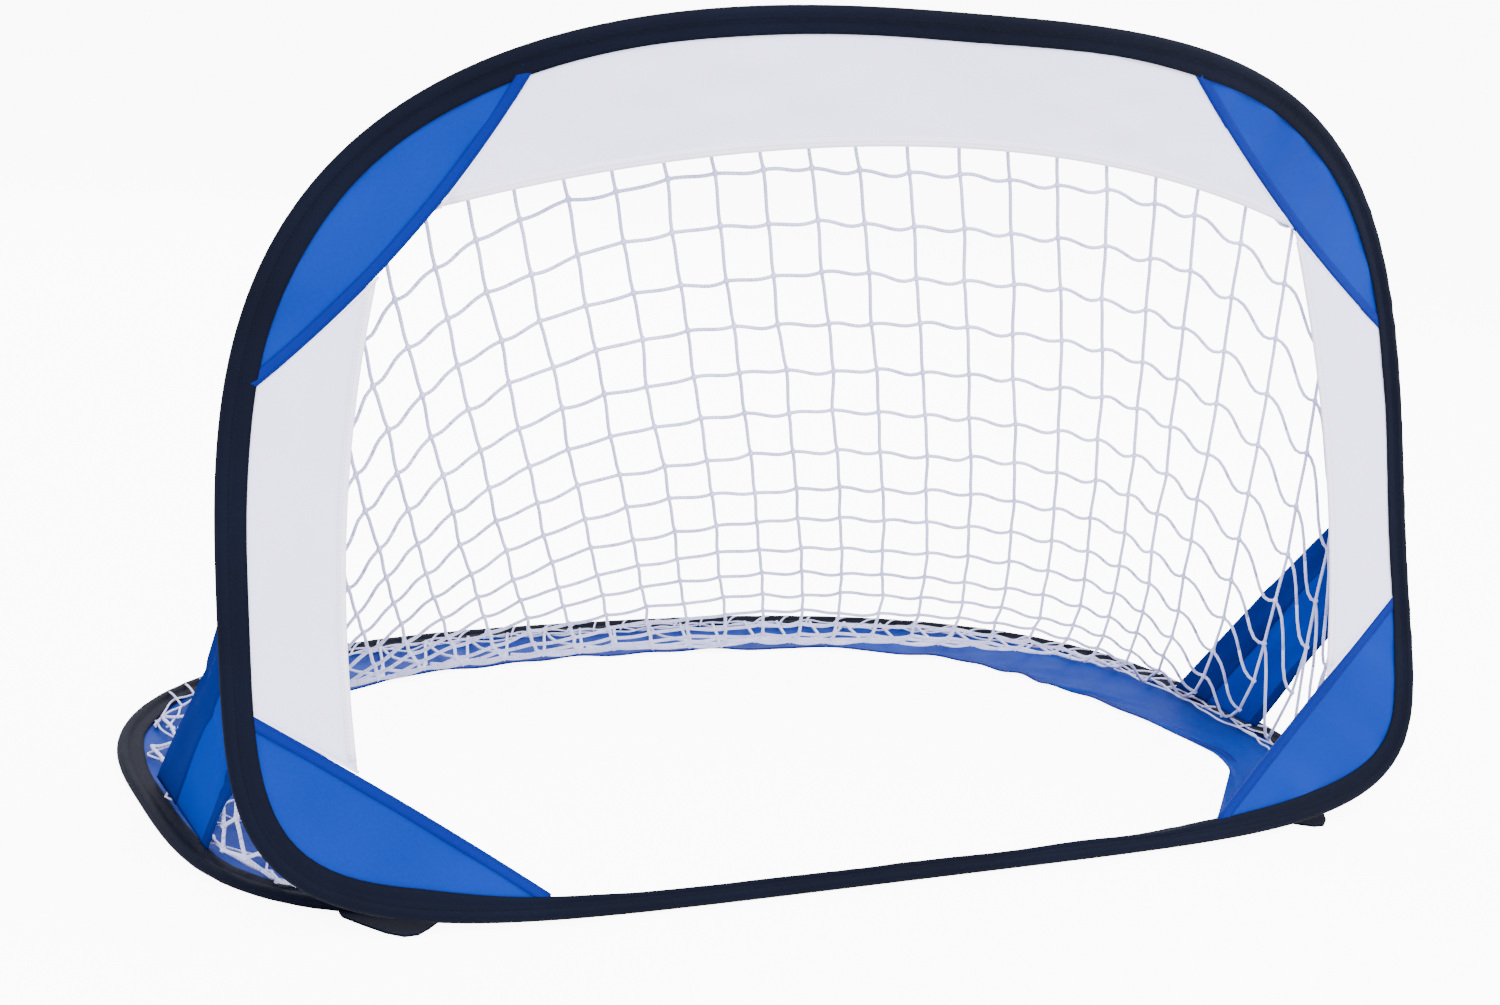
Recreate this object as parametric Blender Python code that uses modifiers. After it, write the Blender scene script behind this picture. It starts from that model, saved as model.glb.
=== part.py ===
"""Pop-up goal: two spring-steel hoops in cloth sleeves, one flat on the ground and one standing.

+X is to the right seen from in front, +Y runs into the goal and +Z is up.
The origin is on the ground under the middle of the goal.
A hoop is drawn in its own plane first: p runs across the goal and q away from the front edge.
"""
import bmesh
import bpy
import numpy as np

WIDTH = 1.20
HEIGHT = 0.74
DEPTH = 0.76
FRONT_Y = -DEPTH / 2

LOOP_STEPS = 64
JOIN = LOOP_STEPS // 4
TOP = LOOP_STEPS // 2

# Outline of the base hoop: where its front edge lies behind the standing hoop's foot, how far
# back it is widest, and how square its corners are.
BASE_FRONT = 0.0132
BASE_MIDDLE = 0.361
BASE_FRONT_POWER = 3.8
BASE_REAR_POWER = 2.5

# Outline of the standing hoop, its lean at the foot and the bow that the net and straps pull in it.
FRONT_MIDDLE = 0.277
FRONT_TOP_POWER = 2.8
FRONT_BOTTOM_POWER = 5.2
LEAN = 0.325
SIDE_BOW = 0.10
TOP_BOW = 0.20

STRIP_WIDTH = 0.006
STRIP_THICKNESS = 0.0012
STRIP_INSET = 0.0055
FERRULE_WALL = 0.0006

SLEEVE_WIDTH = 0.024
SLEEVE_FOOT_WIDTH = 0.016
SLEEVE_TAPER = (5.0, 8.5)
SLEEVE_WALL = 0.0008
SLEEVE_HALF_DEPTH = 0.0046
SLIT_HALF_DEPTH = 0.0013
CLOTH = 0.001
PANEL_INSET = 0.014
GAP = 0.0003

SLEEVE_HALF = SLEEVE_HALF_DEPTH + SLEEVE_WALL / 2
FRONT_FOOT_Z = 0.0008
FRONT_FOOT_Y = FRONT_Y + SLEEVE_HALF + 0.0002
FRONT_LENGTH = (HEIGHT - FRONT_FOOT_Z) / np.cos(LEAN)

# Ends of the four corner seams, as places round the standing hoop: 0 is its foot and 32 its top.
SEAM_INSET = 0.026
SEAMS = {
    "bottom_right": (6.2, 13.8),
    "top_right": (19.0, 27.5),
    "top_left": (39.15, 46.1),
    "bottom_left": (50.9, 57.6),
}
SEAM_BOW = {"bottom_right": 0.002, "top_right": 0.009, "top_left": 0.018, "bottom_left": 0.003}
BANNER_LOW = 0.663
BANNER_ARCH = 0.39
# Inner edge of each side panel: its widest place, that place's height and how fast it curves in.
SIDE_EDGE = {"left": (-0.501, 0.25, 0.30), "right": (0.493, 0.27, -0.76)}

# Width of the ground band at four places, counted in steps from its middle at the rear.
BAND_PLACES = (0, 6, 13, 20.4)
BAND_WIDTHS = (0.106, 0.112, 0.150, 0.090)
BAND_Z = 0.0012
BAND_FRONT = 7.0
BAND_INNER_FRONT = 11.6

NET_THICKNESS = 0.001
NET_INSET = 0.031
NET_FRONT = 10.0
NET_PULL = (0.50, 0.16, 0.94)
# Steps round the base hoop by which the middle of the net is sewn on to the right.
NET_SHIFT = 8.4

STRAP_THICKNESS = 0.0012
STRAP_X = 0.5745
# Front and rear ends of the left (-1) and right (1) strap, on the standing hoop and on the base.
STRAP_HOOP = {-1: (0.20, 0.32), 1: (0.24, 0.342)}
STRAP_RING = {-1: (0.20, 0.375), 1: (0.252, 0.392)}
STRAP_FOOT_Z = 0.0112

ZIP_WIDTH = 0.006
ZIP_START = 0.008
ZIP_LENGTH = 0.048
SLIDER_PLACE = 0.034
SLIDER_LENGTH = 0.009
SLIDER_WIDTH = 0.007
SLIDER_WALL = 0.001
PULL_LENGTH = 0.022
PULL_WIDTH = 0.007
PULL_THICKNESS = 0.001

NAVY = (0.010, 0.016, 0.045, 1.0)
BLUE = (0.022, 0.130, 0.520, 1.0)
WHITE = (0.800, 0.800, 0.900, 1.0)
NET_WHITE = (0.720, 0.720, 0.820, 1.0)
STEEL = (0.560, 0.570, 0.580, 1.0)


def clear_scene():
    for item in list(bpy.data.objects):
        bpy.data.objects.remove(item)


def material(name, colour, roughness, metallic=0.0):
    made = bpy.data.materials.new(name)
    made.use_nodes = True
    shader = made.node_tree.nodes["Principled BSDF"]
    shader.inputs["Base Color"].default_value = colour
    shader.inputs["Roughness"].default_value = roughness
    shader.inputs["Metallic"].default_value = metallic
    return made


def loop(half_width, start, front, rear, front_power, rear_power):
    """Places and inward directions at even steps round a hoop's outer edge, from its foot."""
    angle = np.linspace(-np.pi / 2, 1.5 * np.pi, 4097)
    across, along = np.cos(angle), np.sin(angle)
    depth = np.where(along < 0, front, rear)
    power = np.where(along < 0, front_power, rear_power)
    radius = (abs(across / half_width) ** power + abs(along / depth) ** power) ** (-1 / power)
    edge = np.stack([radius * across, radius * along + start + front], axis=1)
    travel = np.r_[0, np.cumsum(np.linalg.norm(np.diff(edge, axis=0), axis=1))]
    even = np.linspace(0, travel[-1], LOOP_STEPS + 1)[:-1]
    places = np.stack([np.interp(even, travel, edge[:, k]) for k in (0, 1)], axis=1)
    ahead = np.roll(places, -1, axis=0) - np.roll(places, 1, axis=0)
    inward = np.stack([-ahead[:, 1], ahead[:, 0]], axis=1)
    return places, inward / np.linalg.norm(inward, axis=1, keepdims=True)


def along_loop(hoop, place, inset):
    """Point of a hoop's plane at a place round it, which may lie between two steps."""
    places, inward = hoop
    low = int(np.floor(place))
    part = place - low
    ends = [places[k % LOOP_STEPS] + inset * inward[k % LOOP_STEPS] for k in (low, low + 1)]
    return ends[0] * (1 - part) + ends[1] * part


def on_ground(point, height):
    """World point over a point of the base hoop's plane."""
    return np.array([point[0], FRONT_Y + point[1], height])


def on_front(point, offset):
    """World point on the standing hoop's bowed surface, offset towards the front."""
    across, along = point[0] / (WIDTH / 2), point[1] / FRONT_LENGTH
    depth = point[1] * np.sin(LEAN) + SIDE_BOW * across**2 * along - TOP_BOW * along**2
    slope_across = 2 * SIDE_BOW * across * along / (WIDTH / 2)
    slope_along = np.sin(LEAN) + (SIDE_BOW * across**2 - 2 * TOP_BOW * along) / FRONT_LENGTH
    normal = np.array([slope_across * np.cos(LEAN), -np.cos(LEAN), slope_along])
    middle = np.array([point[0], FRONT_FOOT_Y + depth, FRONT_FOOT_Z + point[1] * np.cos(LEAN)])
    return middle + offset * normal / np.linalg.norm(normal)


def sheet(name, rows, thickness, look, closed=False, even=True):
    """Cloth or strip: an open grid of points, made solid by Solidify."""
    rows = np.asarray(rows)
    count, width = rows.shape[:2]
    shape = bmesh.new()
    points = [[shape.verts.new(point) for point in row] for row in rows]
    for i in range(count if closed else count - 1):
        near, far = points[i], points[(i + 1) % count]
        for k in range(width - 1):
            shape.faces.new((near[k], near[k + 1], far[k + 1], far[k]))
    mesh = bpy.data.meshes.new(name)
    shape.to_mesh(mesh)
    shape.free()
    item = place_mesh(name, mesh, look)
    solid = item.modifiers.new("Thickness", "SOLIDIFY")
    solid.thickness = thickness
    solid.offset = 0
    solid.use_even_offset = even
    return item


def place_mesh(name, mesh, look):
    item = bpy.data.objects.new(name, mesh)
    mesh.materials.append(look)
    goal.objects.link(item)
    return item


def sleeve_profile(place):
    """Middle of the sleeve's wall: distance in from its edge, and height off its plane."""
    flange, shoulder = SLIT_HALF_DEPTH, SLEEVE_HALF_DEPTH
    from_foot = TOP - abs(TOP - place % LOOP_STEPS)
    width = np.interp(from_foot, SLEEVE_TAPER, (SLEEVE_FOOT_WIDTH, SLEEVE_WIDTH))
    half = [(width, flange), (0.0125, flange), (0.0080, shoulder), (0.0030, shoulder)]
    return half + [(SLEEVE_WALL / 2, 0)] + [(inset, -height) for inset, height in reversed(half)]


def sleeve(name, hoop, surface, first, last, look):
    """Cloth channel round the steel, open along its inner edge where the panels are sewn in."""
    ends = [first + 0.004] + list(range(first + 1, last)) + [last - 0.004]
    rows = [
        [surface(along_loop(hoop, place, inset), height) for inset, height in sleeve_profile(place)]
        for place in ends
    ]
    return sheet(name, rows, SLEEVE_WALL, look)


def steel_hoop(name, hoop, surface, look):
    """Flat strip on edge, a ring whose two ends butt inside the ferrule."""
    start = TOP + 0.52
    places = [start] + list(range(TOP + 1, TOP + LOOP_STEPS + 1)) + [TOP + LOOP_STEPS + 0.48]
    half = STRIP_WIDTH / 2
    rows = [
        [surface(along_loop(hoop, place, STRIP_INSET), height) for height in (-half, half)]
        for place in places
    ]
    return sheet(name, rows, STRIP_THICKNESS, look)


def ferrule(name, hoop, surface, look):
    """Crimped channel that joins the two ends of the strip."""
    reach = STRIP_THICKNESS / 2 + GAP + FERRULE_WALL / 2
    high = STRIP_WIDTH / 2 + GAP + FERRULE_WALL / 2
    lip = STRIP_WIDTH / 6
    profile = [(reach, lip), (reach, high), (-reach, high), (-reach, -high), (reach, -high), (reach, -lip)]
    rows = [
        [surface(along_loop(hoop, place, STRIP_INSET + inset), height) for inset, height in profile]
        for place in (TOP + 0.2, TOP + 0.8)
    ]
    return sheet(name, rows, FERRULE_WALL, look)


def blend(start, end, parts):
    """Evenly spaced points from one point to another, at the given fractions."""
    return [start * (1 - part) + end * part for part in parts]


def corner_panel(name, places, inner, look):
    """Cloth between the sleeve and a straight seam across the corner."""
    rows = []
    for place, near in zip(places, inner):
        outer = along_loop(front_hoop, place, PANEL_INSET)
        rows.append([on_front(point, 0) for point in blend(outer, near, np.linspace(0, 1, 4))])
    return sheet(name, rows, CLOTH, look)


def edge_panel(name, places, inner, bends, look):
    """Cloth held in the sleeve along one edge, between two seams that bend its end rows."""
    rows = []
    for place, near, part in zip(places, inner, np.linspace(0, 1, len(places))):
        outer = along_loop(front_hoop, place, PANEL_INSET)
        held = along_loop(front_hoop, place, SEAM_INSET)
        row = [outer]
        for k, point in enumerate(blend(held, near, np.linspace(0, 1, 4))):
            row.append(point + bends[0][k] * (1 - part) + bends[1][k] * part)
        rows.append([on_front(point, 0) for point in row])
    return sheet(name, rows, CLOTH, look)


def seam_curve(corner, parts):
    """Points along a corner's seam, which bows a little towards the mouth."""
    start, end = [along_loop(front_hoop, place, SEAM_INSET) for place in SEAMS[corner]]
    middle = np.array([0, FRONT_MIDDLE + 0.05])
    towards = middle - (start + end) / 2
    bow = 4 * SEAM_BOW[corner] * towards / np.linalg.norm(towards)
    return [start * (1 - part) + end * part + bow * part * (1 - part) for part in parts]


def seam_crossing(corner, distance):
    """Fraction of a corner's seam where it meets another edge, given by a distance from it."""
    parts = np.linspace(0, 1, 1001)
    far = [abs(distance(point)) for point in seam_curve(corner, parts)]
    return parts[int(np.argmin(far))]


def seam_bend(corner, end, crossing):
    """How far the seam, from one of its ends to a crossing, lies off a straight line."""
    parts = np.linspace(end, crossing, 4)
    line = seam_curve(corner, parts)
    straight = blend(line[0], line[-1], np.linspace(0, 1, 4))
    return [point - flat for point, flat in zip(line, straight)]


def below_banner(point):
    return BANNER_LOW - BANNER_ARCH * point[0] ** 2 - point[1]


def side_edge(side, along):
    widest, height, curve = SIDE_EDGE[side]
    return widest + curve * (along - height) ** 2


def make_corner_panels(look):
    for corner, (first, last) in SEAMS.items():
        inner = seam_curve(corner, np.linspace(0, 1, 11))
        corner_panel(corner + "_corner_panel", np.linspace(first, last, 11), inner, look)


def make_banner(look):
    slack = 0.02
    first, last = SEAMS["top_right"][1] + slack, SEAMS["top_left"][0] - slack
    right = seam_crossing("top_right", below_banner)
    left = seam_crossing("top_left", below_banner)
    bends = (seam_bend("top_right", 1, right), seam_bend("top_left", 0, left))
    right_p = seam_curve("top_right", [right])[0][0] - 0.0015
    left_p = seam_curve("top_left", [left])[0][0] + 0.0015
    across = np.linspace(right_p, left_p, 17)
    inner = [np.array([p, BANNER_LOW - BANNER_ARCH * p**2]) for p in across]
    edge_panel("top_banner", np.linspace(first, last, 17), inner, bends, look)


def make_side_panel(side, look):
    slack = 0.02
    low, high = "bottom_" + side, "top_" + side
    ends = (1, 0) if side == "right" else (0, 1)
    turn = 1 if side == "right" else -1
    places = (SEAMS[low][ends[0]] + turn * slack, SEAMS[high][ends[1]] - turn * slack)

    def from_edge(point):
        return point[0] - side_edge(side, point[1])

    bottom, top = seam_crossing(low, from_edge), seam_crossing(high, from_edge)
    bends = (seam_bend(low, ends[0], bottom), seam_bend(high, ends[1], top))
    bottom_q = seam_curve(low, [bottom])[0][1] + 0.0020
    top_q = seam_curve(high, [top])[0][1] - 0.0020
    inner = [np.array([side_edge(side, q), q]) for q in np.linspace(bottom_q, top_q, 9)]
    edge_panel(side + "_side_panel", np.linspace(*places, 9), inner, bends, look)


def make_base_band(name, first, last, look):
    """Ground cloth inside the base sleeve: it drops from the sleeve to the ground."""
    shrink = (TOP - BAND_INNER_FRONT) / (TOP - BAND_FRONT)
    steps = int(np.ceil(last - first)) + 1
    rows = []
    for place in np.linspace(first, last, steps):
        inner = TOP + (place - TOP) * shrink
        width = np.interp(abs(inner - TOP), BAND_PLACES, BAND_WIDTHS)
        far = along_loop(base_hoop, inner, width)
        held = along_loop(base_hoop, place, SLEEVE_WIDTH + 0.002)
        rows.append([
            on_ground(along_loop(base_hoop, place, PANEL_INSET), SLEEVE_HALF),
            on_ground(held, SLEEVE_HALF),
            on_ground(held + 0.14 * (far - held), BAND_Z),
            on_ground(held + 0.57 * (far - held), BAND_Z),
            on_ground(far, BAND_Z),
        ])
    return sheet(name, rows, CLOTH, look)


def net_foot(place):
    """Place on the base hoop where the cord from a place on the standing hoop is sewn."""
    reach = (place - TOP) / (TOP - NET_FRONT)
    return place - NET_SHIFT * (1 - abs(reach) ** (2.3 if reach < 0 else 5))


def net_point(place, part):
    """Point of the net: it hangs from the standing hoop and trails back to the base hoop."""
    high = on_front(along_loop(front_hoop, place, NET_INSET), -0.008)
    low = on_ground(along_loop(base_hoop, net_foot(place), NET_INSET), 0.0105)
    middle = high + (low - high) * np.array(NET_PULL)
    return (1 - part) ** 2 * high + 2 * part * (1 - part) * middle + part**2 * low


def make_net(look):
    places = np.linspace(NET_FRONT, LOOP_STEPS - NET_FRONT, 41)
    rows = [[net_point(place, part) for part in np.linspace(0, 1, 11)] for place in places]
    return sheet("net", rows, NET_THICKNESS, look, even=False)


def strap_corners(side):
    """Front and rear ends of a strap, on the standing hoop and on the base hoop."""
    hoop_ends = [on_front(np.array([side * STRAP_X, q]), -0.004) for q in STRAP_HOOP[side]]
    ring_ends = [on_ground(np.array([side * STRAP_X, q]), STRAP_FOOT_Z) for q in STRAP_RING[side]]
    return hoop_ends, ring_ends


def make_strap(name, side, look):
    hoop_ends, ring_ends = strap_corners(side)
    front = blend(hoop_ends[0], ring_ends[0], np.linspace(0, 1, 7))
    rear = blend(hoop_ends[1], ring_ends[1], np.linspace(0, 1, 7))
    rows = [blend(a, b, np.linspace(0, 1, 4)) for a, b in zip(front, rear)]
    return sheet(name, rows, STRAP_THICKNESS, look)


def zip_frame(side):
    """Start of a strap's rear edge, and the directions along it, off it and outward."""
    hoop_ends, ring_ends = strap_corners(side)
    along = ring_ends[1] - hoop_ends[1]
    along /= np.linalg.norm(along)
    outward = np.array([side, 0, 0]) - along * along[0] * side
    outward /= np.linalg.norm(outward)
    off = np.cross(outward, along) * side
    return hoop_ends[1] + off * (GAP + 0.0012), along, off, outward


def zip_point(frame, along, off, outward):
    start, *ways = frame
    return start + sum(way * reach for way, reach in zip(ways, (along, off, outward)))


def make_zip(side, name, tape_look, metal):
    frame = zip_frame(side)
    ends = (ZIP_START, ZIP_START + ZIP_LENGTH)
    rows = [[zip_point(frame, reach, off, 0) for off in (0, ZIP_WIDTH)] for reach in ends]
    sheet(name + "_zip_tape", rows, CLOTH, tape_look)
    wall = CLOTH / 2 + GAP + SLIDER_WALL / 2
    lip = ZIP_WIDTH - SLIDER_WIDTH * 0.8
    edge = ZIP_WIDTH + GAP + SLIDER_WALL / 2
    profile = [(lip, -wall), (edge, -wall), (edge, wall), (lip, wall)]
    rows = [
        [zip_point(frame, SLIDER_PLACE + reach, off, out) for off, out in profile]
        for reach in (-SLIDER_LENGTH / 2, SLIDER_LENGTH / 2)
    ]
    sheet(name + "_zip_slider", rows, SLIDER_WALL, metal)
    make_pull(name + "_zip_pull", frame, wall + SLIDER_WALL / 2, metal)


def make_pull(name, frame, face, metal):
    """Oval loop on the slider's outer face: two ovals joined by a flat rim."""
    centre_off = ZIP_WIDTH / 2
    lift = face + 2 * GAP + PULL_THICKNESS / 2
    steps = 16
    rows = []
    for turn in np.arange(steps) * 2 * np.pi / steps:
        row = []
        for rim in (0.0, 0.0018):
            reach = SLIDER_PLACE + PULL_LENGTH / 2 + (PULL_LENGTH / 2 - rim) * np.cos(turn)
            off = centre_off + (PULL_WIDTH / 2 - rim) * np.sin(turn)
            row.append(zip_point(frame, reach, off, lift))
        rows.append(row)
    return sheet(name, rows, PULL_THICKNESS, metal, closed=True)


def make_peg_tab(name, side, look):
    """Folded webbing lobe on the ground under a front corner."""
    rows = []
    for part in np.linspace(0, 1, 7):
        p = 0.430 + 0.070 * part
        sewn = along_loop(base_hoop, np.interp(p, corner_p, corner_places), -0.0016)
        reach = 0.040 * np.sin(np.pi * (0.12 + 0.76 * part)) ** 1.5
        tip = sewn - np.array([0, reach])
        rows.append([on_ground(point * np.array([side, 1]), 0.0022) for point in blend(sewn, tip, (0, 0.5, 1))])
    return sheet(name, rows, 0.0022, look)


clear_scene()
goal = bpy.data.collections.new("pop_up_goal")
bpy.context.scene.collection.children.link(goal)
navy = material("navy_cloth", NAVY, 0.75)
blue = material("blue_cloth", BLUE, 0.60)
white = material("white_cloth", WHITE, 0.65)
net_cord = material("net_cord", NET_WHITE, 0.80)
steel = material("spring_steel", STEEL, 0.35, 1.0)

base_depths = (BASE_FRONT, BASE_MIDDLE - BASE_FRONT, DEPTH - BASE_MIDDLE)
base_hoop = loop(WIDTH / 2, *base_depths, BASE_FRONT_POWER, BASE_REAR_POWER)
front_depths = (0, FRONT_MIDDLE, FRONT_LENGTH - FRONT_MIDDLE)
front_hoop = loop(WIDTH / 2, *front_depths, FRONT_BOTTOM_POWER, FRONT_TOP_POWER)
corner_places = np.linspace(0, JOIN, 8 * JOIN + 1)
corner_p = [along_loop(base_hoop, place, 0)[0] for place in corner_places]


def base_surface(point, height):
    return on_ground(point, SLEEVE_HALF + height)


steel_hoop("base_hoop", base_hoop, base_surface, steel)
ferrule("base_hoop_ferrule", base_hoop, base_surface, steel)
sleeve("base_sleeve_front", base_hoop, base_surface, -JOIN, JOIN, navy)
sleeve("base_sleeve_rear", base_hoop, base_surface, JOIN, LOOP_STEPS - JOIN, navy)
make_base_band("base_band_right", BAND_FRONT, JOIN + 5 - 0.006, blue)
make_base_band("base_band_rear", JOIN + 5 + 0.006, LOOP_STEPS - JOIN - 5 - 0.006, blue)
make_base_band("base_band_left", LOOP_STEPS - JOIN - 5 + 0.006, LOOP_STEPS - BAND_FRONT, blue)
make_peg_tab("left_peg_tab", -1, navy)
make_peg_tab("right_peg_tab", 1, navy)

steel_hoop("front_hoop", front_hoop, on_front, steel)
ferrule("front_hoop_ferrule", front_hoop, on_front, steel)
sleeve("front_sleeve_bottom", front_hoop, on_front, -JOIN, JOIN, navy)
sleeve("front_sleeve_top", front_hoop, on_front, JOIN, LOOP_STEPS - JOIN, navy)
make_corner_panels(blue)
make_banner(white)
make_side_panel("left", white)
make_side_panel("right", white)

make_net(net_cord)
make_strap("left_strap", -1, blue)
make_strap("right_strap", 1, blue)
make_zip(-1, "left", navy, steel)
make_zip(1, "right", navy, steel)
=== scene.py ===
"""Looks of the pop-up goal: stitched sleeves, bowed panels, knotted net, straps, zips and tabs.

Every length is in metres in the frame of the CAD model. A hoop is drawn in its own plane first:
p runs across the goal and q away from the front edge. Places round a hoop run from 0 at its foot
over 16 at the right side and 32 at the top or rear to 48 at the left side.
"""

import bpy
import numpy as np
from mathutils import Matrix


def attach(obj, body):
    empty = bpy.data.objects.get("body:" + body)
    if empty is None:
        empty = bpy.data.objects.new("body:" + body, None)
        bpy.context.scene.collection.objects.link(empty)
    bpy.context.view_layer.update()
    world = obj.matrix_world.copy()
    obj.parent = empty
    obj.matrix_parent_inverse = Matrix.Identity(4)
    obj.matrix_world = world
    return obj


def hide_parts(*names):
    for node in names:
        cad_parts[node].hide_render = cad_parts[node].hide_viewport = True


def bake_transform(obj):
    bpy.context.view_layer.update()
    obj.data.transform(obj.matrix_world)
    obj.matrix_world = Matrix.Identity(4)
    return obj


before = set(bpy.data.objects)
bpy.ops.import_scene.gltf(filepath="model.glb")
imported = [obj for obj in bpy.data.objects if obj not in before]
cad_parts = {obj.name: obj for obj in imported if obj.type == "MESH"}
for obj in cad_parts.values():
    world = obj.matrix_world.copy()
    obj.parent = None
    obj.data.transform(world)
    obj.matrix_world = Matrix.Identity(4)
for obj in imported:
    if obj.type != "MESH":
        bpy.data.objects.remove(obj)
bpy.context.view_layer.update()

WIDTH, HEIGHT, DEPTH = 1.20, 0.74, 0.76
FRONT_Y = -DEPTH / 2
NET_CORD_RADIUS = 0.0017
EDGE_CORD_RADIUS = 0.0011
PLACES = 64.0
TOP = 32.0
BASE_FRONT, BASE_MIDDLE, BASE_FRONT_POWER, BASE_REAR_POWER = 0.0132, 0.361, 3.8, 2.5
FRONT_MIDDLE, FRONT_TOP_POWER, FRONT_BOTTOM_POWER = 0.277, 2.8, 5.2
LEAN, SIDE_BOW, TOP_BOW = 0.325, 0.10, 0.20
SLEEVE_WIDTH, SLEEVE_FOOT_WIDTH, SLEEVE_TAPER, SLEEVE_HALF = 0.024, 0.016, (5.0, 8.5), 0.005
FRONT_FOOT_Z = 0.0008
FRONT_FOOT_Y = FRONT_Y + SLEEVE_HALF + 0.0002
FRONT_LENGTH = (HEIGHT - FRONT_FOOT_Z) / np.cos(LEAN)

SEAM_INSET = 0.021
SEAMS = {
    "bottom_right": (6.2, 13.8),
    "top_right": (19.0, 27.5),
    "top_left": (39.15, 46.1),
    "bottom_left": (50.9, 57.6),
}
SEAM_BOW = {"bottom_right": 0.002, "top_right": 0.009, "top_left": 0.018, "bottom_left": 0.003}
BANNER_LOW, BANNER_ARCH = 0.663, 0.39
SIDE_EDGE = {"left": (-0.501, 0.25, 0.30), "right": (0.493, 0.27, -0.76)}

BAND_FRONT, BAND_INNER_FRONT = 7.0, 11.6
BAND_PLACES, BAND_WIDTHS = (0, 6, 13, 20.4), (0.106, 0.112, 0.150, 0.090)
NET_INSET, NET_FRONT, NET_SHIFT = 0.031, 10.0, 8.4
NET_PULL = (0.50, 0.16, 0.94)
STRAP_X = 0.5745
STRAP_HOOP = {-1: (0.20, 0.32), 1: (0.24, 0.342)}
STRAP_RING = {-1: (0.20, 0.375), 1: (0.252, 0.392)}



# ---------------------------------------------------------------- hoops and surfaces


class Hoop:
    """Outer edge of a hoop, read at any place and inset, in the hoop's own plane."""

    def __init__(self, start, front, rear, front_power, rear_power):
        angle = np.linspace(-np.pi / 2, 1.5 * np.pi, 8193)
        across, along = np.cos(angle), np.sin(angle)
        depth = np.where(along < 0, front, rear)
        power = np.where(along < 0, front_power, rear_power)
        reach = (abs(across / (WIDTH / 2)) ** power + abs(along / depth) ** power) ** (-1 / power)
        edge = np.stack([reach * across, reach * along + start + front], axis=1)
        travel = np.r_[0, np.cumsum(np.linalg.norm(np.diff(edge, axis=0), axis=1))]
        self.length = travel[-1]
        self.place = travel / travel[-1] * PLACES
        self.edge = edge
        ahead = np.gradient(edge, axis=0)
        inward = np.stack([-ahead[:, 1], ahead[:, 0]], axis=1)
        self.inward = inward / np.linalg.norm(inward, axis=1, keepdims=True)

    def at(self, place, inset):
        place = np.asarray(place, float) % PLACES
        inset = np.asarray(inset, float)[..., None]
        edge = np.stack([np.interp(place, self.place, self.edge[:, k]) for k in (0, 1)], axis=-1)
        way = np.stack([np.interp(place, self.place, self.inward[:, k]) for k in (0, 1)], axis=-1)
        return edge + inset * way


def on_ground(points, height):
    return np.stack(
        np.broadcast_arrays(points[..., 0], FRONT_Y + points[..., 1], np.asarray(height, float)), axis=-1
    )


def on_front(points, offset):
    """Points of the standing hoop's bowed surface; offset is towards the front."""
    across, along = points[..., 0] / (WIDTH / 2), points[..., 1] / FRONT_LENGTH
    depth = points[..., 1] * np.sin(LEAN) + SIDE_BOW * across**2 * along - TOP_BOW * along**2
    slope_across = 2 * SIDE_BOW * across * along / (WIDTH / 2)
    slope_along = np.sin(LEAN) + (SIDE_BOW * across**2 - 2 * TOP_BOW * along) / FRONT_LENGTH
    normal = np.stack(
        [slope_across * np.cos(LEAN), np.full_like(across, -np.cos(LEAN)), slope_along], axis=-1
    )
    normal /= np.linalg.norm(normal, axis=-1, keepdims=True)
    middle = np.stack(
        [points[..., 0], FRONT_FOOT_Y + depth, FRONT_FOOT_Z + points[..., 1] * np.cos(LEAN)], axis=-1
    )
    return middle + np.asarray(offset, float)[..., None] * normal


def on_base(points, offset):
    return on_ground(points, SLEEVE_HALF + np.asarray(offset, float))


front_hoop = Hoop(0, FRONT_MIDDLE, FRONT_LENGTH - FRONT_MIDDLE, FRONT_BOTTOM_POWER, FRONT_TOP_POWER)
base_hoop = Hoop(
    BASE_FRONT, BASE_MIDDLE - BASE_FRONT, DEPTH - BASE_MIDDLE, BASE_FRONT_POWER, BASE_REAR_POWER
)


def waves(*values, seed, length, count=5):
    """Smooth repeatable ripple between about -1 and 1; length is the ripple's size for each value."""
    pick = np.random.default_rng(seed)
    total = 0
    for _ in range(count):
        phase = pick.uniform(0, 2 * np.pi)
        for value, size in zip(values, length):
            phase = phase + value * 2 * np.pi / size * pick.uniform(0.5, 1.5) * pick.choice((-1, 1))
        total = total + np.sin(phase)
    return total / np.sqrt(count) * 0.8


# ---------------------------------------------------------------- materials


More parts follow.
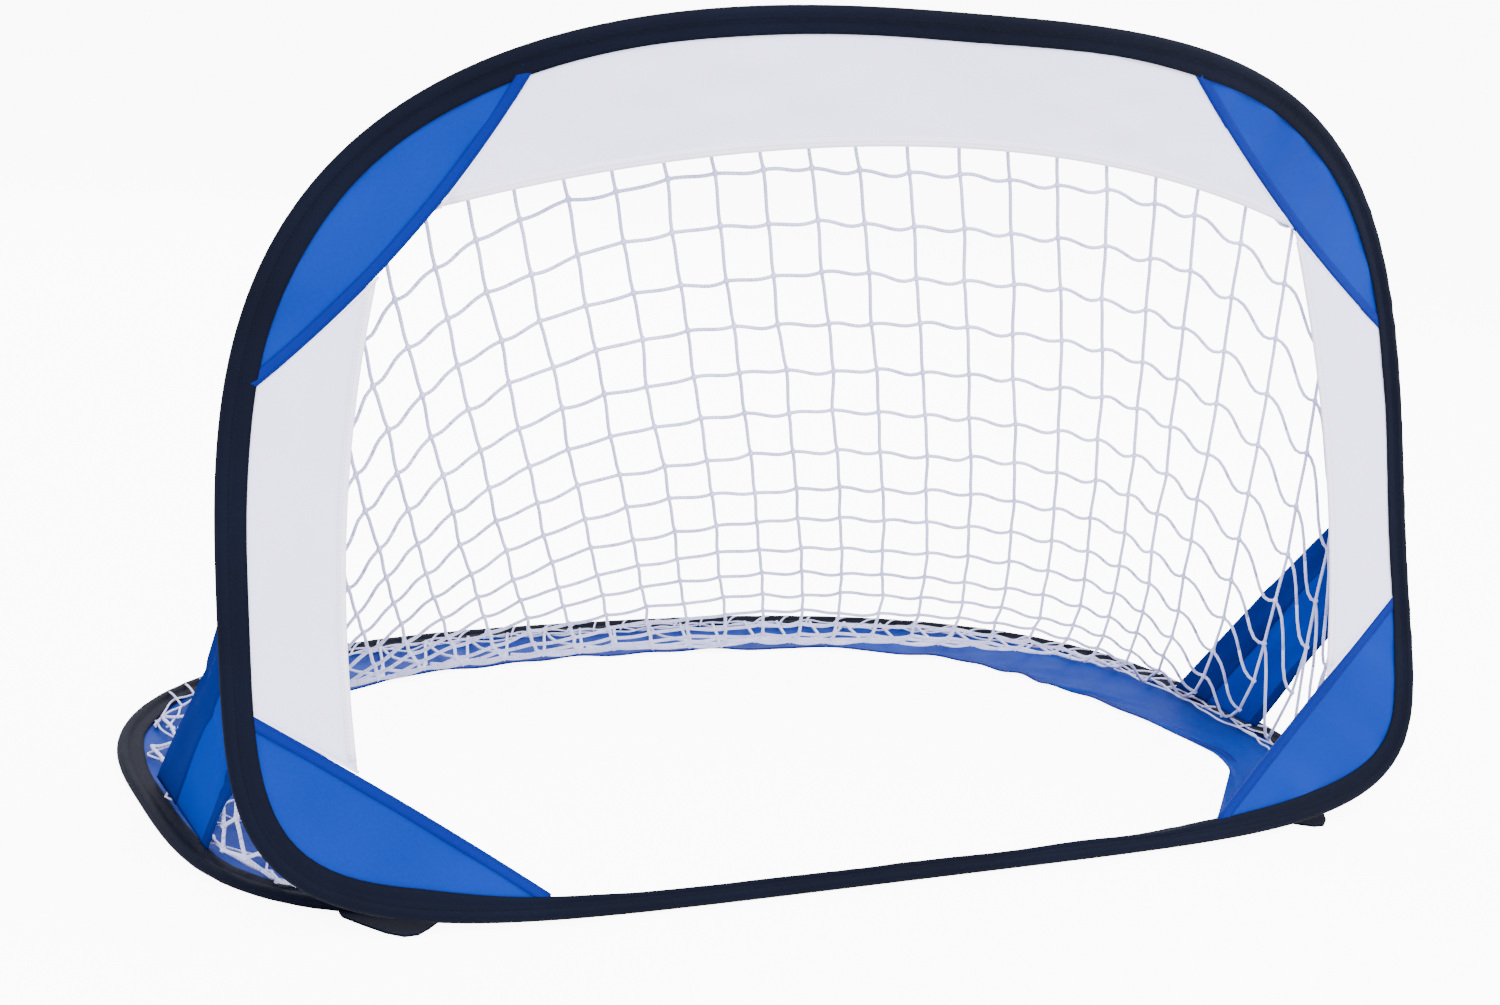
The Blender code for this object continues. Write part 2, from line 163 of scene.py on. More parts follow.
class Look:
    """A Principled material whose nodes are built step by step."""

    def __init__(self, name, roughness, metallic=0.0, sheen=0.0):
        self.material = bpy.data.materials.new(name)
        self.material.use_nodes = True
        self.tree = self.material.node_tree
        self.shader = self.tree.nodes["Principled BSDF"]
        self.shader.inputs["Roughness"].default_value = roughness
        self.shader.inputs["Metallic"].default_value = metallic
        self.shader.inputs["Sheen Weight"].default_value = sheen
        self.shader.inputs["Sheen Roughness"].default_value = 0.5
        self.shader.inputs["Specular IOR Level"].default_value = 0.07 if metallic == 0 else 0.5

    def node(self, kind, **values):
        made = self.tree.nodes.new(kind)
        for key, value in values.items():
            if hasattr(made, key):
                setattr(made, key, value)
            else:
                made.inputs[key.replace("_", " ")].default_value = value
        return made

    def link(self, out, into):
        self.tree.links.new(out, into)

    def math(self, operation, first, second=None):
        made = self.node("ShaderNodeMath", operation=operation)
        for socket, value in zip(made.inputs, (first, second)):
            if isinstance(value, bpy.types.NodeSocket):
                self.link(value, socket)
            elif value is not None:
                socket.default_value = value
        return made.outputs[0]

    def mix(self, factor, first, second):
        made = self.node("ShaderNodeMix", data_type="RGBA")
        self.link(factor, made.inputs[0])
        for socket, value in zip((made.inputs[6], made.inputs[7]), (first, second)):
            if isinstance(value, bpy.types.NodeSocket):
                self.link(value, socket)
            else:
                socket.default_value = (*value, 1)
        return made.outputs[2]

    def noise(self, vector, scale, detail=3.0):
        made = self.node("ShaderNodeTexNoise", Scale=scale, Detail=detail)
        self.link(vector, made.inputs["Vector"])
        return made.outputs["Fac"]

    def ramp(self, value, low, high):
        made = self.node("ShaderNodeMapRange", From_Min=low, From_Max=high)
        self.link(value, made.inputs["Value"])
        return made.outputs[0]


def cloth_look(
    name, dark, light, roughness, weave=0.0007, stitches=(), thread=None, depth=0.25, sheen=0.0, specular=0.07
):
    """Woven cloth with colour variation, a plain weave and rows of stitches at given distances across."""
    look = Look(name, roughness, sheen=sheen)
    look.shader.inputs["Specular IOR Level"].default_value = specular
    coords = look.node("ShaderNodeTexCoord")
    split = look.node("ShaderNodeSeparateXYZ")
    look.link(coords.outputs["UV"], split.inputs[0])
    u, v = split.outputs[0], split.outputs[1]
    broad = look.noise(coords.outputs["Object"], 7.0)
    fine = look.noise(coords.outputs["UV"], 420.0, 2.0)
    tone = look.math("ADD", look.math("MULTIPLY", broad, 0.7), look.math("MULTIPLY", fine, 0.3))
    colour = look.mix(look.ramp(tone, 0.35, 0.65), dark, light)
    warp = look.math("SINE", look.math("MULTIPLY", u, 2 * np.pi / weave))
    weft = look.math("SINE", look.math("MULTIPLY", v, 2 * np.pi / weave))
    height = look.math("MULTIPLY", look.math("MULTIPLY", warp, weft), 0.5)
    height = look.math("ADD", height, look.math("MULTIPLY", look.noise(coords.outputs["Object"], 60.0), 1.2))
    for place in stitches:
        near = look.math("LESS_THAN", look.math("ABSOLUTE", look.math("SUBTRACT", v, place)), 0.0005)
        dash = look.math("LESS_THAN", look.math("FRACT", look.math("DIVIDE", u, 0.0036)), 0.72)
        stitch = look.math("MULTIPLY", near, dash)
        if thread:
            colour = look.mix(stitch, colour, thread)
        height = look.math("ADD", height, look.math("MULTIPLY", stitch, 2.0))
    look.link(colour, look.shader.inputs["Base Color"])
    rough = look.node("ShaderNodeMapRange", To_Min=roughness - 0.08, To_Max=roughness + 0.08)
    look.link(fine, rough.inputs["Value"])
    look.link(rough.outputs[0], look.shader.inputs["Roughness"])
    bump = look.node("ShaderNodeBump", Strength=depth, Distance=0.0004)
    look.link(height, bump.inputs["Height"])
    look.link(bump.outputs[0], look.shader.inputs["Normal"])
    return look.material


def cord_look(name, dark, light):
    """Twisted soft cord: slanted strands along its length."""
    look = Look(name, 0.75)
    coords = look.node("ShaderNodeTexCoord")
    split = look.node("ShaderNodeSeparateXYZ")
    look.link(coords.outputs["UV"], split.inputs[0])
    u, v = split.outputs[0], split.outputs[1]
    along = look.math("MULTIPLY", u, 2 * np.pi / 0.0035)
    around = look.math("MULTIPLY", v, 4 * np.pi)
    twist = look.math("ADD", along, around)
    strand = look.math("SINE", twist)
    broad = look.noise(coords.outputs["Object"], 25.0)
    shade = look.math("ADD", look.math("MULTIPLY", strand, 0.16), broad)
    look.link(look.mix(look.ramp(shade, 0.25, 0.75), dark, light), look.shader.inputs["Base Color"])
    bump = look.node("ShaderNodeBump", Strength=0.5, Distance=0.0004)
    look.link(strand, bump.inputs["Height"])
    look.link(bump.outputs[0], look.shader.inputs["Normal"])
    return look.material


def metal_look(name, dark, light, roughness, brush):
    """Bright metal with fine brush marks and slightly uneven polish."""
    look = Look(name, roughness, metallic=1.0)
    coords = look.node("ShaderNodeTexCoord")
    stretch = look.node("ShaderNodeMapping")
    stretch.inputs["Scale"].default_value = brush
    look.link(coords.outputs["Object"], stretch.inputs["Vector"])
    marks = look.noise(stretch.outputs[0], 300.0, 4.0)
    look.link(look.mix(look.ramp(marks, 0.3, 0.7), dark, light), look.shader.inputs["Base Color"])
    rough = look.node("ShaderNodeMapRange", To_Min=roughness - 0.1, To_Max=roughness + 0.12)
    look.link(marks, rough.inputs["Value"])
    look.link(rough.outputs[0], look.shader.inputs["Roughness"])
    bump = look.node("ShaderNodeBump", Strength=0.15, Distance=0.0002)
    look.link(marks, bump.inputs["Height"])
    look.link(bump.outputs[0], look.shader.inputs["Normal"])
    return look.material


NAVY = ((0.0006, 0.0014, 0.0065), (0.0014, 0.0028, 0.0105))
BLUE = ((0.0005, 0.0165, 0.185), (0.0008, 0.0225, 0.225))
HEM_BLUE = ((0.0003, 0.0070, 0.130), (0.0006, 0.0100, 0.160))
WHITE = ((0.74, 0.735, 0.97), (0.80, 0.795, 1.0))
THREAD_BLUE = (0.0003, 0.006, 0.100)

navy_cloth = cloth_look(
    "navy_sleeve_cloth", *NAVY, 0.72, stitches=(0.0135, 0.0445), thread=(0.0004, 0.0008, 0.003)
)
navy_tape = cloth_look("navy_webbing", *NAVY, 0.78, weave=0.0012, depth=0.4)
blue_cloth = cloth_look("blue_nylon", *BLUE, 0.55)
hem_cloth = cloth_look("blue_hem", *HEM_BLUE, 0.55, stitches=(0.0022,), thread=THREAD_BLUE)
band_cloth = cloth_look("blue_ground_band", (0.0006, 0.016, 0.170), (0.0010, 0.024, 0.220), 0.58)
white_cloth = cloth_look("white_nylon", *WHITE, 0.60, depth=0.18)
# Lighter white than the panels. On the hems it is the hem colour; on the thin edge strips along the corner
# seams it is a painted highlight where the cloth folds.
white_hem_and_painted_edge_highlight = cloth_look(
    "white_hem_and_painted_edge_highlight", (0.80, 0.78, 0.98), (0.86, 0.84, 1.0), 0.60, stitches=(0.0045,), thread=(0.62, 0.62, 0.80)
)
net_look = cord_look("net_twine", (0.42, 0.42, 0.66), (0.60, 0.60, 0.86))
strip_look = metal_look("spring_steel_strip", (0.42, 0.43, 0.45), (0.60, 0.61, 0.63), 0.35, (4, 4, 60))
fold_cloth = cloth_look("blue_strap_fold", (0.0005, 0.0085, 0.105), (0.0008, 0.0125, 0.130), 0.85,
                        stitches=(0.0022,), thread=THREAD_BLUE, specular=0.01)
strap_cloth = cloth_look("blue_strap", (0.0005, 0.0190, 0.205), (0.0008, 0.0260, 0.250), 0.85, specular=0.01)
tooth_look = cloth_look("zip_coil", (0.0030, 0.0045, 0.012), (0.006, 0.009, 0.022), 0.45)
chrome_look = metal_look("plated_zip_metal", (0.62, 0.62, 0.64), (0.80, 0.80, 0.82), 0.25, (30, 30, 4))


# ---------------------------------------------------------------- mesh helpers


def finish_mesh(name, mesh, look):
    mesh.materials.append(look)
    mesh.validate()
    for face in mesh.polygons:
        face.use_smooth = True
    item = bpy.data.objects.new(name, mesh)
    bpy.context.scene.collection.objects.link(item)
    return item


def grid_area(points):
    down, over = np.diff(points, axis=0)[:, :-1], np.diff(points, axis=1)[:-1]
    return float(np.linalg.norm(np.cross(down, over), axis=-1).sum())


def cloth(name, points, thickness, look, ring=False, uv=None):
    """Sheet of cloth on a grid of points, with UVs in metres along and across it."""
    points = np.asarray(points, float)
    count, width = points.shape[:2]
    if uv is None:
        along = np.r_[0, np.cumsum(np.linalg.norm(np.diff(points, axis=0), axis=-1).mean(axis=1))]
        across = np.r_[0, np.cumsum(np.linalg.norm(np.diff(points, axis=1), axis=-1).mean(axis=0))]
        uv = np.stack(np.meshgrid(along, across, indexing="ij"), axis=-1)
    index = np.arange(count * width).reshape(count, width)
    if ring:
        index = np.vstack([index, index[:1]])
        last = uv[-1] + (uv[-1] - uv[-2])
        uv = np.concatenate([uv, last[None]], axis=0)
    faces = np.stack([index[:-1, :-1], index[:-1, 1:], index[1:, 1:], index[1:, :-1]], axis=-1).reshape(-1, 4)
    corners = np.stack([uv[:-1, :-1], uv[:-1, 1:], uv[1:, 1:], uv[1:, :-1]], axis=2).reshape(-1, 2)
    mesh = bpy.data.meshes.new(name)
    mesh.from_pydata(points.reshape(-1, 3).tolist(), [], faces.tolist())
    layer = mesh.uv_layers.new(name="UVMap")
    layer.data.foreach_set("uv", corners.ravel())
    item = finish_mesh(name, mesh, look)
    solid = item.modifiers.new("Thickness", "SOLIDIFY")
    solid.thickness = thickness
    solid.offset = 0
    bpy.context.view_layer.objects.active = item
    with bpy.context.temp_override(object=item, active_object=item, selected_objects=[item]):
        bpy.ops.object.modifier_apply(modifier=solid.name)
    item["area"] = grid_area(points if not ring else np.concatenate([points, points[:1]]))
    return item


def tube(paths, radius, sides=6):
    """Vertices, faces and UVs of round cords along several paths; radius may vary along each path."""
    verts, faces, uvs = [], [], []
    start = 0
    turn = np.arange(sides) * 2 * np.pi / sides
    for path, size in paths_with_radius(paths, radius):
        ahead = np.gradient(path, axis=0)
        ahead /= np.linalg.norm(ahead, axis=1, keepdims=True)
        side = np.cross(ahead, np.array([0.31, 0.17, 0.93]))
        side /= np.linalg.norm(side, axis=1, keepdims=True)
        up = np.cross(side, ahead)
        ring = path[:, None] + size[:, None, None] * (
            np.cos(turn)[None, :, None] * side[:, None] + np.sin(turn)[None, :, None] * up[:, None]
        )
        count = len(path)
        verts.append(ring.reshape(-1, 3))
        index = start + np.arange(count * sides).reshape(count, sides)
        index = np.hstack([index, index[:, :1]])
        quads = np.stack([index[:-1, :-1], index[:-1, 1:], index[1:, 1:], index[1:, :-1]], axis=-1)
        faces += quads.reshape(-1, 4).tolist()
        travel = np.r_[0, np.cumsum(np.linalg.norm(np.diff(path, axis=0), axis=1))]
        around = np.linspace(0, 1, sides + 1)
        uv = np.stack(np.meshgrid(travel, around, indexing="ij"), axis=-1)
        uvs.append(np.stack([uv[:-1, :-1], uv[:-1, 1:], uv[1:, 1:], uv[1:, :-1]], axis=2).reshape(-1, 2))
        for end, row in ((index[0, :-1][::-1], travel[0]), (index[-1, :-1], travel[-1])):
            faces.append(end.tolist())
            uvs.append(np.tile([row, 0.5], (sides, 1)))
        start += count * sides
    return np.concatenate(verts), faces, np.concatenate(uvs)


def paths_with_radius(paths, radius):
    for path in paths:
        if isinstance(path, tuple):
            yield path
        else:
            yield path, np.full(len(path), radius)


def cords(name, paths, radius, look, sides=6):
    verts, faces, uvs = tube(paths, radius, sides)
    mesh = bpy.data.meshes.new(name)
    mesh.from_pydata(verts.tolist(), [], faces)
    layer = mesh.uv_layers.new(name="UVMap")
    layer.data.foreach_set("uv", uvs.ravel())
    return finish_mesh(name, mesh, look)


# ---------------------------------------------------------------- sleeves


def sleeve(name, hoop, surface, seed, pucker):
    """Cloth channel round the steel, closed by a row of stitches, with its edges sewn flat inside."""
    step = 0.25
    place = np.arange(0, PLACES, step)
    length = hoop.length / PLACES
    half = [
        (0.0242, 0.0014), (0.0200, 0.0015), (0.0155, 0.0016), (0.0135, 0.0012), (0.0118, 0.0022),
        (0.0095, 0.0038), (0.0070, 0.0046), (0.0040, 0.0044), (0.0018, 0.0030), (0.0006, 0.0013),
    ]
    profile = half + [(0.0002, 0.0)] + [(inset, -height) for inset, height in reversed(half)]
    rows = []
    from_foot = TOP - abs(TOP - place)
    flange = np.interp(from_foot, SLEEVE_TAPER, (SLEEVE_FOOT_WIDTH, SLEEVE_WIDTH)) - 0.0125
    for inset, height in profile:
        inset = np.where(inset > 0.0125, 0.0125 + (inset - 0.0125) * flange / (SLEEVE_WIDTH - 0.0125), inset)
        along = place * length
        loose = np.minimum(inset / 0.02, 1.0)
        ripple = waves(along, seed=seed, length=(0.16,)) * 0.0009 * loose
        tuck = waves(along, seed=seed + 1, length=(0.035,)) * 0.0005 * pucker * (abs(height) > 0.002)
        fine_waves = waves(along, seed=seed + 2, length=(0.02,))
        lift = np.sign(height) * tuck + np.sign(height) * 0.0004 * fine_waves * loose
        rows.append(surface(hoop.at(place, inset + ripple * (inset > 0.01)), height + lift))
    points = np.stack(rows, axis=1)
    return cloth(name, points, 0.0007, navy_cloth, ring=True)


front_sleeve = sleeve("standing_hoop_sleeve", front_hoop, on_front, 3, 1.0)
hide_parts("front_sleeve_top", "front_sleeve_bottom")
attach(front_sleeve, "front_frame")

base_sleeve = sleeve("ground_hoop_sleeve", base_hoop, on_base, 8, 0.5)
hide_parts("base_sleeve_front", "base_sleeve_rear")
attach(base_sleeve, "base")


# ---------------------------------------------------------------- panels of the standing hoop


def seam_curve(corner, parts):
    """Points along a corner's seam, which bows a little towards the mouth."""
    parts = np.asarray(parts, float)[..., None]
    start, end = (front_hoop.at(place, SEAM_INSET) for place in SEAMS[corner])
    towards = np.array([0, FRONT_MIDDLE + 0.05]) - (start + end) / 2
    bow = 4 * SEAM_BOW[corner] * towards / np.linalg.norm(towards)
    return start * (1 - parts) + end * parts + bow * parts * (1 - parts)


def crossing(corner, distance):
    parts = np.linspace(0, 1, 2001)
    return parts[np.argmin(abs(distance(seam_curve(corner, parts))))]


def below_banner(points):
    return BANNER_LOW - BANNER_ARCH * points[..., 0] ** 2 - points[..., 1]


def side_edge(side, along):
    widest, height, curve = SIDE_EDGE[side]
    return widest + curve * (along - height) ** 2


def coons(low, high, first, last):
    """Grid of points between four edges: low and high run together, first and last join their ends."""
    rows, columns = len(low), len(first)
    i = np.linspace(0, 1, rows)[:, None, None]
    k = np.linspace(0, 1, columns)[None, :, None]
    ruled = (1 - k) * low[:, None] + k * high[:, None] + (1 - i) * first[None] + i * last[None]
    bilinear = (1 - i) * (1 - k) * low[0] + i * (1 - k) * low[-1] + (1 - i) * k * high[0] + i * k * high[-1]
    return ruled - bilinear


def wrinkle(points, seed, amount, length):
    """Offset of slack cloth: long soft folds, flat at the grid's edges."""
    rows, columns = points.shape[:2]
    edge = np.minimum(1, 6 * np.minimum(*np.meshgrid(
        np.minimum(np.linspace(0, 1, rows), np.linspace(1, 0, rows)),
        np.minimum(np.linspace(0, 1, columns), np.linspace(1, 0, columns)),
        indexing="ij",
    )))
    return amount * edge * waves(points[..., 0], points[..., 1], seed=seed, length=length)


def flat_size(points):
    """Width and length of the smallest upright or slanted rectangle that holds a plane shape."""
    flat = points.reshape(-1, 2)
    best = None
    for turn in np.linspace(0, np.pi / 2, 46):
        way = np.array([[np.cos(turn), np.sin(turn)], [-np.sin(turn), np.cos(turn)]])
        size = np.sort(np.ptp(flat @ way.T, axis=0))
        if best is None or size.prod() < best.prod():
            best = size
    return float(best[0]), float(best[1])


def front_panel(name, plane, seed, look, amount=0.0009, length=(0.09, 0.07), thickness=0.0006):
    points = on_front(plane, wrinkle(plane, seed, amount, length))
    item = cloth(name, points, thickness, look, uv=plane)
    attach(item, "front_frame")
    return item


def strip_along(name, line, width, look, thickness, offset=0.0, body="front_frame", surface=on_front):
    """Narrow folded hem that follows a line of the hoop's plane, on its left-hand side."""
    ahead = np.gradient(line, axis=0)
    ahead /= np.linalg.norm(ahead, axis=1, keepdims=True)
    side = np.stack([-ahead[:, 1], ahead[:, 0]], axis=1)
    across = np.linspace(0, 1, 4)
    plane = line[:, None] + across[None, :, None] * width * side[:, None]
    travel = np.r_[0, np.cumsum(np.linalg.norm(np.diff(line, axis=0), axis=1))]
    uv = np.stack(np.meshgrid(travel, across * abs(width), indexing="ij"), axis=-1)
    item = cloth(name, surface(plane, np.full(plane.shape[:2], offset)), thickness, look, uv=uv)
    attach(item, body)
    return item


def make_corner(corner):
    first, last = SEAMS[corner]
    parts = np.linspace(0, 1, 41)
    inner = seam_curve(corner, parts)
    outer = front_hoop.at(first + (last - first) * parts, np.full(41, 0.016))
    k = np.linspace(0, 1, 13)[None, :, None]
    plane = outer[:, None] * (1 - k) + inner[:, None] * k
    panel = front_panel(corner + "_corner", plane, 20 + int(first), blue_cloth)
    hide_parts(corner + "_corner_panel")
    hem = strip_along(corner + "_hem", inner, -0.0095, hem_cloth, 0.0030)
    width, length = flat_size(plane)
    return panel


for corner_name in SEAMS:
    make_corner(corner_name)


def make_banner():
    first, last = SEAMS["top_right"][1] + 0.02, SEAMS["top_left"][0] - 0.02
    right, left = (crossing(corner, below_banner) for corner in ("top_right", "top_left"))
    low_right, low_left = seam_curve("top_right", right), seam_curve("top_left", left)
    across = np.linspace(low_right[0] - 0.0012, low_left[0] + 0.0012, 81)
    lower = np.stack([across, BANNER_LOW - BANNER_ARCH * across**2], axis=1)
    upper = front_hoop.at(np.linspace(first, last, 81), np.full(81, 0.016))
    parts = np.linspace(0, 1, 15)
    right_seam = seam_curve("top_right", 1 + (right - 1) * parts)
    left_seam = seam_curve("top_left", left * parts)
    ends = []
    for seam, top, bottom in ((right_seam, upper[0], lower[0]), (left_seam, upper[-1], lower[-1])):
        fix = (top - seam[0])[None] * (1 - parts[:, None]) + (bottom - seam[-1])[None] * parts[:, None]
        ends.append(seam + fix)
    plane = coons(upper, lower, *ends)
    panel = front_panel("top_banner_cloth", plane, 41, white_cloth, 0.0012, (0.16, 0.06))
    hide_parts("top_banner")
    hem = strip_along("banner_lower_hem", lower[1:-1], -0.009, white_hem_and_painted_edge_highlight, 0.0026)
    # These thin raised strips along the banner's side seams are drawn in the lighter hem white, a painted
    # highlight on the folded edge next to the blue corners.
    for name, seam in (("banner_right_edge", ends[0]), ("banner_left_edge", ends[1])):
        side = 0.0022 if "right" in name else -0.0022
        edge = strip_along(name, seam, -side, white_hem_and_painted_edge_highlight, 0.0013, offset=0.0004)
    width, length = flat_size(plane)


def make_side(side):
    low, high = "bottom_" + side, "top_" + side
    ends = (1, 0) if side == "right" else (0, 1)
    turn = 1 if side == "right" else -1

    def from_edge(points):
        return points[..., 0] - side_edge(side, points[..., 1])

    bottom, top = crossing(low, from_edge), crossing(high, from_edge)
    first, last = SEAMS[low][ends[0]] + turn * 0.02, SEAMS[high][ends[1]] - turn * 0.02
    outer = front_hoop.at(np.linspace(first, last, 41), np.full(41, 0.016))
    along = np.linspace(seam_curve(low, bottom)[1] + 0.0015, seam_curve(high, top)[1] - 0.0015, 41)
    inner = np.stack([side_edge(side, along), along], axis=1)
    parts = np.linspace(0, 1, 11)
    edges = []
    for corner, end, cross, a, b in (
        (low, ends[0], bottom, outer[0], inner[0]), (high, ends[1], top, outer[-1], inner[-1])
    ):
        seam = seam_curve(corner, end + (cross - end) * parts)
        fix = (a - seam[0])[None] * (1 - parts[:, None]) + (b - seam[-1])[None] * parts[:, None]
        edges.append(seam + fix)
    plane = coons(outer, inner, *edges)
    seed = 61 if side == "right" else 67
    panel = front_panel(side + "_side_cloth", plane, seed, white_cloth, 0.0012, (0.05, 0.16))
    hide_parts(side + "_side_panel")
    hem = strip_along(side + "_side_hem", inner[1:-1], turn * -0.007, white_hem_and_painted_edge_highlight, 0.0026)
    # These thin raised strips along the corner seams are drawn in the lighter hem white, a painted highlight
    # on the folded edge next to the blue corners.
    for k, edge in enumerate(edges):
        way = (1 if k == 0 else -1) * turn * -0.0022
        label = f"{side}_side_edge_{'low' if k == 0 else 'high'}"
        strip = strip_along(label, edge, way, white_hem_and_painted_edge_highlight, 0.0013, offset=0.0004)
    width, length = flat_size(plane)


make_banner()
make_side("left")
make_side("right")


# ---------------------------------------------------------------- ground band


def make_band():
    """Blue ground cloth inside the base sleeve, with a loose wavy inner edge."""
    place = np.linspace(BAND_FRONT, PLACES - BAND_FRONT, 241)
    shrink = (TOP - BAND_INNER_FRONT) / (TOP - BAND_FRONT)
    travel = place * base_hoop.length / PLACES
    inner = TOP + (place - TOP) * shrink
    width = np.interp(abs(inner - TOP), BAND_PLACES, BAND_WIDTHS)
    far = base_hoop.at(inner, width + 0.0022 * waves(travel, seed=91, length=(0.22,)))
    held = base_hoop.at(place, np.full(len(place), SLEEVE_WIDTH - 0.006))
    parts = np.r_[0, np.linspace(0.05, 1, 16)]
    plane = held[:, None] * (1 - parts[None, :, None]) + far[:, None] * parts[None, :, None]
    drop = SLEEVE_HALF + (0.0014 - SLEEVE_HALF) * np.clip(parts / 0.22, 0, 1) ** 0.8
    fold_along, fold_across = travel[:, None] + 0 * parts[None], parts[None] + 0 * travel[:, None]
    fold = waves(fold_along, fold_across, seed=93, length=(0.12, 1.2))
    height = drop[None] + 0.0016 * (fold + 1) * np.clip((parts[None] - 0.2) * 2.5, 0, 1)
    points = on_ground(plane, height)
    band = cloth("ground_band_cloth", points, 0.0006, band_cloth, uv=plane)
    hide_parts("base_band_left", "base_band_rear", "base_band_right")
    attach(band, "base")
    inner_height = height[:, -1]
    hem_points = []
    ahead = np.gradient(far, axis=0)
    ahead /= np.linalg.norm(ahead, axis=1, keepdims=True)
    side = np.stack([ahead[:, 1], -ahead[:, 0]], axis=1)
    for reach in (0.0, 0.003, 0.007):
        hem_points.append(on_ground(far + side * reach, inner_height + 0.0001))
    hem = cloth("ground_band_hem", np.stack(hem_points, axis=1), 0.0016, hem_cloth)
    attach(hem, "base")
    width, length = flat_size(plane)
    # The U-shaped cloth itself fills only 0.26 of its rectangle. The declared area is raised above
    # the cloth's own, to the least share a sheet may have, so it overstates the cloth by 18%.
    return band


make_band()


# ---------------------------------------------------------------- net


def net_foot(place):
    reach = (place - TOP) / (TOP - NET_FRONT)
    power = np.where(reach < 0, 2.3, 5.0)
    return place - NET_SHIFT * (1 - abs(reach) ** power)


def net_ends(place):
    inset = np.full(np.shape(place), NET_INSET)
    high = on_front(front_hoop.at(place, inset), np.full(np.shape(place), -0.008))
    low = on_ground(base_hoop.at(net_foot(place), inset), 0.0105)
    return high, low


def net_surface(place, part):
    """Point of the net at a place round the standing hoop and a fraction of the way down it."""
    place, part = np.broadcast_arrays(np.asarray(place, float), np.asarray(part, float))
    high, low = net_ends(place)
    middle = high + (low - high) * np.array(NET_PULL)
    part = part[..., None]
    return (1 - part) ** 2 * high + 2 * part * (1 - part) * middle + part**2 * low


def net_columns():
    """Places of the net's columns: closest together behind the left half, wider round the right."""
    fine = np.linspace(NET_FRONT, PLACES - NET_FRONT, 2001)
    spacing = np.interp(fine, (20, 23, 27, 31, 36, 41, 45), (2.5, 2.0, 1.3, 1.0, 0.8, 0.8, 0.95))
    number = np.cumsum(1 / spacing) * (fine[1] - fine[0])
    number -= np.interp(35.0, fine, number)
    whole = np.arange(np.ceil(number[0] + 0.3), number[-1] - 0.3)
    return np.r_[fine[0], np.interp(whole, number, fine), fine[-1]]


def net_knots(place):
    """Knots down one net column: a whole cell apart from the standing hoop to the base hoop."""
    part = np.linspace(0, 1, 241)
    lean = 1.1 * np.exp(-(((place - 25) / 3.5) ** 2)) * np.sin(np.pi * part)
    path = net_surface(place + lean, part)
    travel = np.r_[0, np.cumsum(np.linalg.norm(np.diff(path, axis=0), axis=1))]
    cell = np.interp(place, (24, 33, 42), (0.0555, 0.0505, 0.0465))
    count = max(int((travel[-1] - 0.0115) / cell - 0.35), 0)
    steps = np.r_[0, 0.0115 + cell * np.arange(count + 1), travel[-1]]
    if 20 < place < 46:
        steps = steps[(np.interp(steps, travel, path[:, 2]) > 0.024) | (steps == travel[-1])]
    return np.stack([np.interp(steps, travel, path[:, axis]) for axis in range(3)], axis=1)


def row_cord(a, b, down, sag, t):
    """Cord between two knots; it leaves each one square to the column, so it bends twice."""
    step = (b - a) @ down
    curve = a + (b - a) * t[:, None] - down * (0.11 * step * np.sin(2 * np.pi * t))[:, None]
    curve[:, 2] -= sag * np.linalg.norm(b - a) * 4 * t * (1 - t)
    return curve


def make_net():
    """Square-mesh net of soft cords, one strip of it for each column."""
    columns = net_columns()
    last = len(columns) - 1
    pick = np.random.default_rng(5)
    knots = [net_knots(place) for place in columns]
    for k in range(1, last):
        knots[k][1:-1] += pick.normal(0, 0.0011, knots[k][1:-1].shape)
    sags = pick.uniform(0.0, 0.07, (last + 1, 40))
    strips = []
    for k, column in enumerate(knots):
        t = np.linspace(0, 1, 5)[:-1]
        sway = np.sin(2 * np.pi * t)[:, None] * np.array([0.0006, 0.0004, 0])
        legs = [a + (b - a) * t[:, None] + sway for a, b in zip(column[:-1], column[1:])]
        paths = [np.concatenate(legs + [column[-1:]])]
        for j in range(1, len(column) - 1):
            row = []
            for way in (-1, 1):
                beside = k + way
                if not 0 <= beside <= last:
                    continue
                other = knots[beside]
                if j < len(other) - 1:
                    near, far, low = (other[j], column[j], beside) if way < 0 else (column[j], other[j], k)
                    down = column[j + 1] - column[j - 1]
                    down /= np.linalg.norm(down)
                    half = np.linspace(0.5, 1, 5) if way < 0 else np.linspace(0, 0.5, 5)
                    curve = row_cord(near, far, down, sags[low, j], half)
                    row.append(curve[:-1] if way < 0 else curve)
                elif j == len(other) - 1:
                    drop = np.array([0, 0, -1.0])
                    paths.append(row_cord(column[j], other[-1], drop, 0.05, np.linspace(0, 1, 7)))
            if row:
                paths.append(np.concatenate(row))
            ahead = column[j + 1] - column[j]
            ahead /= np.linalg.norm(ahead)
            bead = column[j] + ahead * np.linspace(-0.0036, 0.0036, 5)[:, None]
            paths.append((bead, np.array([0.0012, 0.0024, 0.0030, 0.0024, 0.0012])))
        strip = cords(f"net_column_{k:02d}", paths, NET_CORD_RADIUS, net_look, sides=5)
        strips.append((strip, column))
    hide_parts("net")
    for strip, column in strips:
        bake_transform(strip)


def on_band(place, inset, height):
    return on_ground(base_hoop.at(place, inset), height)


